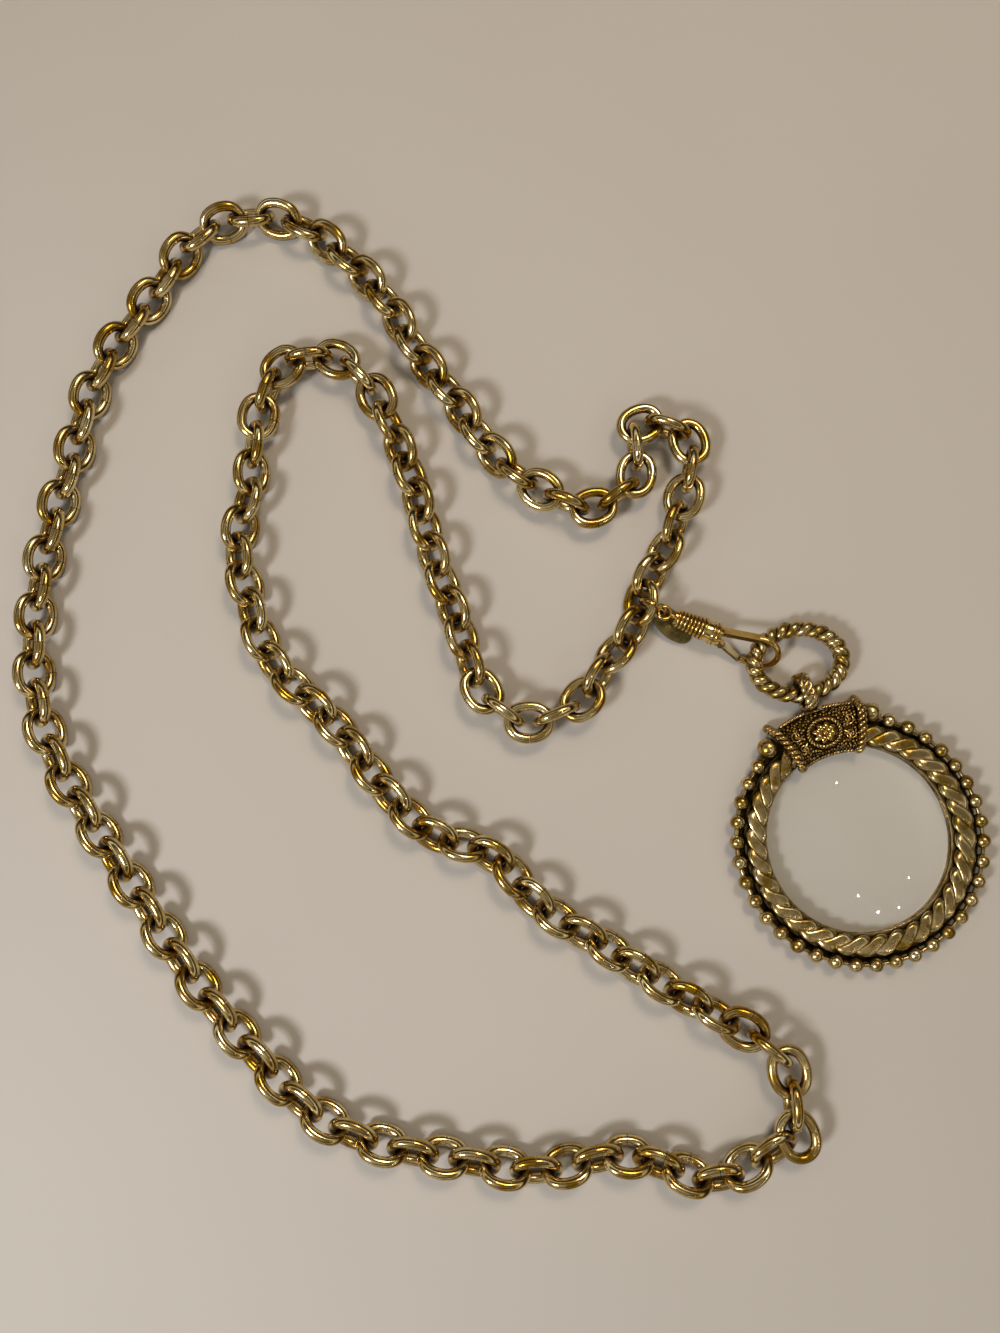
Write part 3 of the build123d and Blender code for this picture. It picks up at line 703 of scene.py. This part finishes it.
@dataclass(frozen=True)
class RopeRing:
    """The oval ring of two thick strands laid up as a rope and closed on themselves."""

    middle: tuple[float, float, float] = (1.1, 43.0, 3.8)
    major: float = 10.35
    minor: float = 7.75
    lean: float = -11.0
    strand_radius: float = 1.16
    strands: int = 2
    offset: float = 0.89
    turns: int = 11
    steps: int = 330
    sides: int = 14

    def build(self) -> None:
        """Lay the two strands in place of the plain lobes."""
        lean = math.radians(self.lean)
        long_way = Vector((math.cos(lean), math.sin(lean), 0)) * self.major
        short_way = Vector((-math.sin(lean), math.cos(lean), 0)) * self.minor
        path = oval(Vector(self.middle), long_way, short_way, self.steps)
        up = [UPWARD] * self.steps
        shape = Shape()
        for strand in twist(path, up, True, -self.turns, self.offset, self.strands):
            shape.tube(strand, self.strand_radius, self.sides, closed=True)
        shape.piece("rope_ring_strands", CAST_GOLD, "rope_ring", Slot.GOLD, ["rope_ring"])


@dataclass(frozen=True)
class LensMount:
    """The frame, its bead row, and the band of twisted strip that is filed flat on top."""

    band_radius: float = 24.0
    band_middle: float = 3.9
    band_low: float = 3.0
    band_high: float = 4.8
    band_shoulder: float = 4.25
    strands: int = 2
    strand_radius: float = 1.3
    squash: float = 0.8
    offset: float = 1.12
    lift_share: float = 0.62
    turns: int = 18
    steps: int = 540
    sides: int = 14

    def filed(self, point: Vector) -> Vector:
        """Press a point of the band between its low crowned top and the frame under it.

        Args:
            point: The point on the round strands.

        Returns:
            Its place on the filed band.
        """
        over = max(0.0, point.z - self.band_shoulder)
        room = self.band_high - self.band_shoulder
        height = min(point.z, self.band_shoulder) + room * math.tanh(over / room)
        return Vector((point.x, point.y, max(height, self.band_low)))

    def build(self, frame: dict[str, Any]) -> None:
        """Dress the frame and lay the band.
        """
        for name in ("lens_frame", "retaining_ring", "bead_row"):
            DRESSER.dress(frame["nodes"][name], CAST_GOLD)
        lens = frame["nodes"]["lens"]
        DRESSER.dress(lens, LENS_GLASS)
        # Clear glass lets the light through, which the renderer would take for shade
        lens.visible_shadow = False
        lens.visible_diffuse = False
        path = [around_lens(self.band_radius, -FULL_TURN * i / self.steps, self.band_middle)
                for i in range(self.steps)]
        up = [UPWARD] * self.steps
        shape = Shape()
        for strand in twist(path, up, True, -self.turns, self.offset, self.strands,
                            self.lift_share):
            shape.tube(strand, self.strand_radius, self.sides, closed=True,
                       squash=self.squash, up=UPWARD)
        shape.bend(self.filed)
        shape.piece("twisted_band", CAST_GOLD, "pendant", Slot.GOLD, ["rope_band"])


@dataclass(frozen=True)
class Casting:
    """The face of the clamp casting: a flat between two slopes, in radii from the lens's axis."""

    top: float = 6.3
    shoulder: float = 4.9
    inner: float = 20.9
    outer: float = 30.7
    flat_inner: float = 22.4
    flat_outer: float = 29.1
    half_angle: float = 18.5

    def height(self, radius: float) -> float:
        """Give the height of the face.

        Args:
            radius: Distance from the lens's axis.

        Returns:
            The height above the back.
        """
        fall = self.top - self.shoulder
        if radius < self.flat_inner:
            return self.top - fall * (self.flat_inner - radius) / (self.flat_inner - self.inner)
        if radius > self.flat_outer:
            return self.top - fall * (radius - self.flat_outer) / (self.outer - self.flat_outer)
        return self.top


CASTING = Casting()


@dataclass(frozen=True)
class Borders:
    """The twisted borders over both ends of the clamp."""

    angle: float = 19.6
    # The run of a border over the end of the clamp: radius and height
    run: tuple[tuple[float, float], ...] = (
        (32.4, 2.0), (31.2, 4.4), (30.2, 6.5), (28.2, 7.3), (23.8, 7.35), (22.5, 6.7),
        (21.1, 5.6), (20.6, 4.1))
    strands: int = 2
    strand_radius: float = 0.56
    offset: float = 0.54
    turns: float = 6.0
    steps: int = 140
    sides: int = 10

    def build(self) -> None:
        """Lay both borders, with a ball at each end."""
        shape = Shape()
        for hand in (-1, 1):
            turn = math.radians(hand * self.angle)
            path = smooth_run([around_lens(r, turn, z) for r, z in self.run], self.steps)
            flat = Vector((math.cos(turn), -math.sin(turn), 0))
            up = [heading(path, i, False).cross(flat).normalized() for i in range(len(path))]
            for strand in twist(path, up, False, hand * self.turns, self.offset, self.strands):
                shape.tube(strand, self.strand_radius, self.sides)
            for end in (path[0], path[-1]):
                shape.ball(end, self.offset + self.strand_radius, flat)
        shape.piece("twisted_borders", FILIGREE_GOLD, "pendant", Slot.GOLD, ["clamp_borders"])


@dataclass(frozen=True)
class Boss:
    """The oval boss: a dark dish, a twisted rim and a plain eight-petal rosette."""

    radius: float = 25.6
    half_length: float = 4.3
    half_width: float = 3.6
    # From the dish's foot inward: share of its half sizes, and height
    dish: tuple[tuple[float, float], ...] = (
        (1.0, 0.0), (1.0, 0.3), (0.93, 0.42), (0.8, 0.3), (0.05, 0.3))
    dish_sides: int = 64
    rim_inset: float = 0.5
    rim_height: float = 0.5
    rim_strands: int = 2
    rim_strand: float = 0.27
    rim_offset: float = 0.24
    rim_turns: int = 14
    rim_steps: int = 240
    rim_sides: int = 10
    petals: int = 8
    petal_start: float = 0.5
    petal_length: float = 1.95
    petal_stretch: float = 1.22
    petal_height: float = 0.72
    petal_arch: float = 0.3
    petal_thin: float = 0.12
    petal_swell: float = 0.68
    # Where along half a wave the petal's width starts, and how much of it the petal covers
    petal_wave: tuple[float, float] = (0.06, 0.9)
    petal_power: float = 0.8
    petal_squash: float = 0.5
    petal_steps: int = 14
    petal_sides: int = 14
    eye_height: float = 0.95
    eye_radius: float = 0.72

    def ring(self, length: float, width: float, height: float, steps: int) -> list[Vector]:
        """Give an oval about the boss's middle, by its half sizes and its height."""
        middle = Vector((0, self.radius, CASTING.top + height))
        return oval(middle, Vector((length, 0, 0)), Vector((0, width, 0)), steps)

    def petal(self, number: int) -> tuple[list[Vector], list[float]]:
        """Trace a petal.

        Args:
            number: Which petal it is, from nought.

        Returns:
            The points of its middle line, and its radius at each.
        """
        turn = FULL_TURN * (number + 0.5) / self.petals
        out = Vector((math.cos(turn) * self.petal_stretch, math.sin(turn), 0))
        middle = Vector((0, self.radius, CASTING.top))
        path, radii = [], []
        for i in range(self.petal_steps + 1):
            share = i / self.petal_steps
            rise = self.petal_height + self.petal_arch * math.sin(math.pi * share)
            path.append(middle + out * (self.petal_start + self.petal_length * share)
                        + UPWARD * rise)
            start, covered = self.petal_wave
            wave = math.pi * (start + covered * share**self.petal_power)
            radii.append(self.petal_thin + self.petal_swell * math.sin(wave))
        return path, radii

    def build(self) -> None:
        """Build the dish, the rim and the rosette."""
        dish = Shape()
        dish.rings([self.ring(self.half_length * share, self.half_width * share, height,
                              self.dish_sides) for share, height in self.dish], closed=False)
        dish.piece("boss_dish", CLAMP_PATINA, "pendant", Slot.PATINA, ["centre_boss"])
        rim = Shape()
        path = self.ring(self.half_length - self.rim_inset, self.half_width - self.rim_inset,
                         self.rim_height, self.rim_steps)
        for strand in twist(path, [UPWARD] * self.rim_steps, True, self.rim_turns,
                            self.rim_offset, self.rim_strands):
            rim.tube(strand, self.rim_strand, self.rim_sides, closed=True)
        rim.piece("boss_rim", FILIGREE_GOLD, "pendant", Slot.GOLD)
        flower = Shape()
        for number in range(self.petals):
            path, radii = self.petal(number)
            flower.tube(path, radii, self.petal_sides, squash=self.petal_squash, up=UPWARD)
        eye = Vector((0, self.radius, CASTING.top + self.eye_height))
        flower.ball(eye, self.eye_radius, UPWARD)
        flower.piece("boss_rosette", CLASP_GOLD, "pendant", Slot.GOLD)


BOSS = Boss()


@dataclass(frozen=True)
class Scroll:
    """One wire scroll on the clamp: where its coil sits and how it runs.

    The start is the angle in degrees at which the wire's outer end leaves the coil.
    """

    angle: float
    radius: float
    size: float
    start: float
    hand: int

    def place(self, across: float, out: float, height: float) -> Vector:
        """Give a point near the scroll, by its own directions across and out from the lens.

        Args:
            across: Distance round the lens from its middle.
            out: Distance away from the lens from its middle.
            height: Height above the back.

        Returns:
            The point.
        """
        turn = math.radians(self.angle)
        radial = Vector((math.sin(turn), math.cos(turn), 0))
        level = Vector((math.cos(turn), -math.sin(turn), 0))
        return around_lens(self.radius, turn, height) + level * across + radial * out


SCROLLS = (
    Scroll(13.6, 27.6, 1.55, 200, 1), Scroll(13.8, 24.2, 1.45, 20, -1),
    Scroll(-13.6, 27.6, 1.55, -20, -1), Scroll(-13.8, 24.2, 1.45, 160, 1))


@dataclass(frozen=True)
class Filigree:
    """The wire scrolls on the clamp, and the leaves of wire between them and the boss."""

    wire: float = 0.23
    turns: float = 1.45
    # How fast a scroll winds in, and in shares of its wire its height and radius along it
    winding: float = 0.8
    seat: float = 0.7
    climb: float = 0.8
    thickest: float = 1.1
    taper: float = 0.35
    eye_height: float = 1.6
    eye_radius: float = 1.5
    scroll_steps: int = 64
    # A leaf's angle from the bail and its bow, in degrees, and its run across the clamp
    leaf_angle: float = 10.2
    leaf_sweep: float = 3.4
    leaf_bow: float = 0.9
    leaf_start: float = 0.5
    leaf_run: float = 2.6
    leaf_height: float = 0.22
    leaf_thin: float = 0.16
    leaf_swell: float = 0.24
    # The leaf's width along half a wave: where it starts, and how fast it goes on
    leaf_wave: tuple[float, float] = (0.05, 1.1)
    leaf_steps: int = 24
    sides: int = 10

    def coil(self, shape: Shape, scroll: Scroll) -> None:
        """Add one scroll, thinner and higher towards its eye, with a granule there.

        Args:
            shape: The shape that gets the wire.
            scroll: Which scroll it is.
        """
        path, radii = [], []
        for i in range(self.scroll_steps + 1):
            share = i / self.scroll_steps
            turn = math.radians(scroll.start) + scroll.hand * share * self.turns * FULL_TURN
            reach = (scroll.size - self.wire) * (1 - share) ** self.winding + self.wire * share
            height = CASTING.top + self.wire * (self.seat + self.climb * share)
            path.append(scroll.place(reach * math.cos(turn), reach * math.sin(turn), height))
            radii.append(self.wire * (self.thickest - self.taper * share))
        shape.tube(path, radii, self.sides)
        eye = scroll.place(0, 0, CASTING.top + self.wire * self.eye_height)
        shape.ball(eye, self.wire * self.eye_radius, UPWARD)

    def leaf(self, shape: Shape, hand: int, inward: int) -> None:
        """Add one leaf of wire beside the boss.

        Args:
            shape: The shape that gets the wire.
            hand: The side of the boss, -1 or 1.
            inward: Whether it runs towards the lens, -1, or away from it, 1.
        """
        path, radii = [], []
        start, pace = self.leaf_wave
        for i in range(self.leaf_steps + 1):
            share = i / self.leaf_steps
            bow = self.leaf_sweep * math.sin(share * math.pi * self.leaf_bow)
            radius = BOSS.radius + inward * (self.leaf_start + self.leaf_run * share)
            path.append(around_lens(radius, hand * math.radians(self.leaf_angle + bow),
                                    CASTING.top + self.leaf_height))
            wave = math.pi * min(1, share * pace + start)
            radii.append(self.leaf_thin + self.leaf_swell * math.sin(wave))
        shape.tube(path, radii, self.sides)

    def build(self) -> None:
        """Lay the scrolls and the leaves."""
        shape = Shape()
        for scroll in SCROLLS:
            self.coil(shape, scroll)
        for hand in (-1, 1):
            for inward in (-1, 1):
                self.leaf(shape, hand, inward)
        shape.piece("scroll_wires", FILIGREE_GOLD, "pendant", Slot.GOLD, ["scroll_filigree"])


@dataclass(frozen=True)
class Granules:
    """Small granules strewn over the face of the clamp, clear of the boss and the scrolls."""

    seed: int = 7
    count: int = 300
    tries: int = 12000
    radius: float = 0.34
    sizes: tuple[float, float] = (0.8, 1.4)
    end_margin: float = 1.3
    spacing: float = 1.9
    lift: float = 0.35
    sides: int = 8
    boss_room: float = 1.02
    scroll_room: float = 0.9

    def clear(self, spot: Vector, size: float, laid: Sequence[Vector]) -> bool:
        """Say whether a granule fits at a spot.

        Args:
            spot: Its place on the face.
            size: Its radius.
            laid: The granules that are there already.

        Returns:
            Whether it keeps clear of the boss, the scrolls and the other granules.
        """
        across = spot.x / (BOSS.half_length + size)
        out = (spot.y - BOSS.radius) / (BOSS.half_width + size)
        if math.hypot(across, out) <= self.boss_room:
            return False
        for scroll in SCROLLS:
            middle = scroll.place(0, 0, CASTING.top)
            if (spot - middle).length <= scroll.size * self.scroll_room:
                return False
        return all((spot - other).length > self.radius * self.spacing for other in laid)

    def build(self) -> None:
        """Strew the granules."""
        draw = random.Random(self.seed)
        reach = CASTING.half_angle - self.end_margin
        shape = Shape()
        laid: list[Vector] = []
        for _ in range(self.tries):
            if len(laid) == self.count:
                break
            angle = math.radians(draw.uniform(-reach, reach))
            radius = draw.uniform(CASTING.inner + self.radius, CASTING.outer - self.radius)
            spot = around_lens(radius, angle, CASTING.height(radius))
            size = self.radius * draw.uniform(*self.sizes)
            if self.clear(spot, size, laid):
                laid.append(spot)
                shape.ball(spot + UPWARD * (size * self.lift), size, UPWARD, self.sides)
        shape.piece("clamp_granules", GRANULE_BRONZE, "pendant", Slot.PATINA)


@dataclass(frozen=True)
class Clamp:
    """The clamp casting with its twisted borders, trims, scrolls, granules and boss."""

    def build(self, frame: dict[str, Any]) -> None:
        """Dress the casting and lay its ornaments.
        """
        nodes = frame["nodes"]
        DRESSER.dress(nodes["clamp"], CLAMP_PATINA)
        for name in ("clamp_borders", "edge_trims", "scroll_filigree", "centre_boss",
                     "clamp_rivets", "bail_collar"):
            DRESSER.dress(nodes[name], FILIGREE_GOLD)
        Borders().build()
        Filigree().build()
        Granules().build()
        BOSS.build()


@dataclass(frozen=True)
class Bail:
    """The cast bail: an upright loop with the look of thick strands laid up together."""

    middle: tuple[float, float, float] = (0.0, 35.8, 3.8)
    half_straight: float = 1.0
    bend_radius: float = 2.98
    strands: int = 3
    strand_radius: float = 0.66
    side_offset: float = 0.98
    out_share: float = 0.12
    turns: int = 5
    steps: int = 160
    sides: int = 12
    stem_from: float = 30.0
    stem_to: float = 32.0
    stem_radius: float = 1.0
    stem_sides: int = 20

    def build(self) -> None:
        """Lay the strands round the loop in place of the plain one."""
        path, up = [], []
        straight = 2 * self.half_straight
        bend = math.pi * self.bend_radius
        whole = 2 * (straight + bend)
        middle = Vector(self.middle)
        for i in range(self.steps):
            run = whole * i / self.steps
            if run < straight:
                spot, out = (run - self.half_straight, self.bend_radius), (0.0, 1.0)
            elif run < straight + bend:
                turn = math.pi / 2 - (run - straight) / self.bend_radius
                out = (math.cos(turn), math.sin(turn))
                spot = (self.half_straight + self.bend_radius * out[0], self.bend_radius * out[1])
            elif run < 2 * straight + bend:
                spot = (self.half_straight - (run - straight - bend), -self.bend_radius)
                out = (0.0, -1.0)
            else:
                turn = -math.pi / 2 - (run - 2 * straight - bend) / self.bend_radius
                out = (math.cos(turn), math.sin(turn))
                spot = (-self.half_straight + self.bend_radius * out[0], self.bend_radius * out[1])
            path.append(middle + Vector((0, spot[0], spot[1])))
            up.append(Vector((0, out[0], out[1])))
        shape = Shape()
        for strand in twist(path, up, True, self.turns, self.side_offset, self.strands,
                            self.out_share):
            shape.tube(strand, self.strand_radius, self.sides, closed=True)
        stem = [Vector((0, y, self.middle[2])) for y in (self.stem_from, self.stem_to)]
        shape.tube(stem, self.stem_radius, self.stem_sides)
        shape.piece("bail_strands", CAST_GOLD, "pendant", Slot.GOLD, ["bail"])


@dataclass(frozen=True)
class Clasp:
    """The swivel clasp, its split ring and the hang tag."""

    def build(self, frame: dict[str, Any]) -> None:
        """Dress the clasp's pieces.
        """
        nodes = frame["nodes"]
        for name in ("barrel", "end_collar", "hook", "gate_rivet", "swivel", "split_ring"):
            DRESSER.dress(nodes[name], CLASP_GOLD)
        DRESSER.dress(nodes["gate"], GATE_GOLD)
        DRESSER.dress(nodes["hang_tag"], TAG_BRASS)


@dataclass(frozen=True)
class View:
    """The photograph's view: nearly straight down, with the bottom of the picture nearer."""

    place: tuple[float, float, float] = (-74.57, 38.05, 236.62)
    tilt: float = 6.9
    turn: float = 19.0
    focal_share: float = 1000 / 1333
    sensor: float = 36.0
    nearest: float = 10.0
    farthest: float = 20000.0

    def axes(self) -> tuple[Vector, Vector, Vector]:
        """Work out how the picture lies in the part's axes.

        Returns:
            The picture's right, up and backward directions.
        """
        turn, tilt = math.radians(self.turn), math.radians(self.tilt)
        right = Vector((math.cos(turn), -math.sin(turn), 0))
        level = Vector((math.sin(turn), math.cos(turn), 0))
        up = level * math.cos(tilt) + Vector((0, 0, math.sin(tilt)))
        return right, up, right.cross(up)

    def build(self) -> None:
        """Make the camera."""
        right, up, back = self.axes()
        lens = bpy.data.cameras.new("photo_view")
        lens.sensor_width = self.sensor
        lens.lens = self.focal_share * self.sensor
        lens.clip_start = metres(self.nearest)
        lens.clip_end = metres(self.farthest)
        camera = bpy.data.objects.new("photo_view", lens)
        bpy.context.scene.collection.objects.link(camera)
        turned = Matrix((right, up, back)).transposed().to_4x4()
        camera.matrix_world = Matrix.Translation(Vector(self.place) * METRES_PER_MM) @ turned
        bpy.context.scene.camera = camera


@dataclass(frozen=True)
class Lamp:
    """A square lamp, placed by the picture's right and up from the middle of the part."""

    name: str
    right: float
    up: float
    height: float
    side: float
    watts: float
    colour: str

    def build(self, middle: Vector, view: View) -> None:
        """Make the lamp and aim it at the middle of the part.

        Args:
            middle: The middle of the part on the floor.
            view: The picture's view, for its directions.
        """
        right, up, _ = view.axes()
        level = Vector((up.x, up.y, 0)).normalized()
        place = middle + right * self.right + level * self.up + UPWARD * self.height
        light = bpy.data.lights.new(self.name, "AREA")
        light.size = metres(self.side)
        light.energy = self.watts
        light.color = linear(self.colour)[:3]
        made = bpy.data.objects.new(self.name, light)
        made.location = place * METRES_PER_MM
        made.rotation_euler = (place - middle).to_track_quat("Z", "Y").to_euler()
        bpy.context.scene.collection.objects.link(made)


@dataclass(frozen=True)
class Studio:
    """Floor, room light and lamps."""

    middle: tuple[float, float, float] = (-74.0, 45.0, 0.0)
    floor_side: float = 4000.0
    lamps: tuple[Lamp, ...] = (
        Lamp("key_lamp", -430, -330, 560, 140, 3.2, "#FBFAFF"),
        Lamp("warm_lamp", 150, 330, 640, 170, 1.45, "#FFE8CC"),
        Lamp("spark_lamp_1", 358, -300, 800, 9, 0.06, "#FFF4E2"),
        Lamp("spark_lamp_2", 439, -358, 745, 10, 0.08, "#FFF4E2"),
        Lamp("spark_lamp_3", 514, -328, 700, 9, 0.06, "#FFF4E2"),
        Lamp("spark_lamp_4", 547, -210, 700, 7, 0.03, "#FFF4E2"),
        Lamp("spark_lamp_5", 285, 179, 830, 7, 0.04, "#FFF4E2"),
    )
    # Share along the room's tilted axis, from under the floor to the ceiling, and the light there
    room: tuple[tuple[float, str], ...] = (
        (0.0, "#8A8379"), (0.46, "#8A8379"), (0.52, "#453C2C"), (0.60, "#120D06"),
        (0.70, "#281F10"), (0.77, "#E6E2DA"), (0.80, "#E6E2DA"), (0.85, "#5A5448"),
        (0.91, "#382F24"), (1.0, "#A8A39B"))
    room_axis: tuple[float, float, float] = (-0.24, -0.16, 0.958)

    def build(self, view: View) -> None:
        """Make the floor, the room light and the lamps.

        Args:
            view: The picture's view, for its directions.
        """
        half = self.floor_side / 2
        corners = [Vector((x * half, y * half, 0)) * METRES_PER_MM
                   for x, y in ((-1, -1), (1, -1), (1, 1), (-1, 1))]
        mesh = bpy.data.meshes.new("floor")
        mesh.from_pydata(corners, [], [(0, 1, 2, 3)])
        floor = bpy.data.objects.new("floor", mesh)
        bpy.context.scene.collection.objects.link(floor)
        DRESSER.dress(floor, FLOOR_CLOTH)
        for lamp in self.lamps:
            lamp.build(Vector(self.middle), view)
        bpy.context.scene.world = self.room_light()

    def room_light(self) -> bpy.types.World:
        """Make the light of the room, banded along a tilted axis.

        Returns:
            The world that holds it.
        """
        world = bpy.data.worlds.new("room")
        tree = blank_tree(world)
        toward = add_node(tree, "TexCoord").outputs["Generated"]
        along = add_node(tree, "VectorMath", {0: toward, 1: self.room_axis},
                         operation="DOT_PRODUCT")
        share = add_node(tree, "MapRange", {
            "Value": along.outputs["Value"], "From Min": -1.0, "From Max": 1.0})
        ramp = add_node(tree, "ValToRGB", {"Fac": share.outputs["Result"]})
        stops = ramp.color_ramp.elements
        while len(stops) < len(self.room):
            stops.new(0.5)
        for stop, (share, colour) in zip(stops, self.room):
            stop.position = share
            stop.color = linear(colour)
        light = add_node(tree, "Background", {"Color": ramp.outputs["Color"], "Strength": 1.0})
        add_node(tree, "OutputWorld", {"Surface": light.outputs["Background"]})
        return world


def main() -> None:
    """Load the solids, dress them, and set up the light and the view."""
    logging.basicConfig(level=logging.INFO, format="%(name)s: %(message)s")
    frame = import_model()
    Chain().build(frame)
    LensMount().build(frame)
    Clamp().build(frame)
    Bail().build()
    RopeRing().build()
    Clasp().build(frame)
    view = View()
    view.build()
    Studio().build(view)
    bpy.context.scene.view_settings.view_transform = "Standard"


if __name__ == "__main__":
    main()
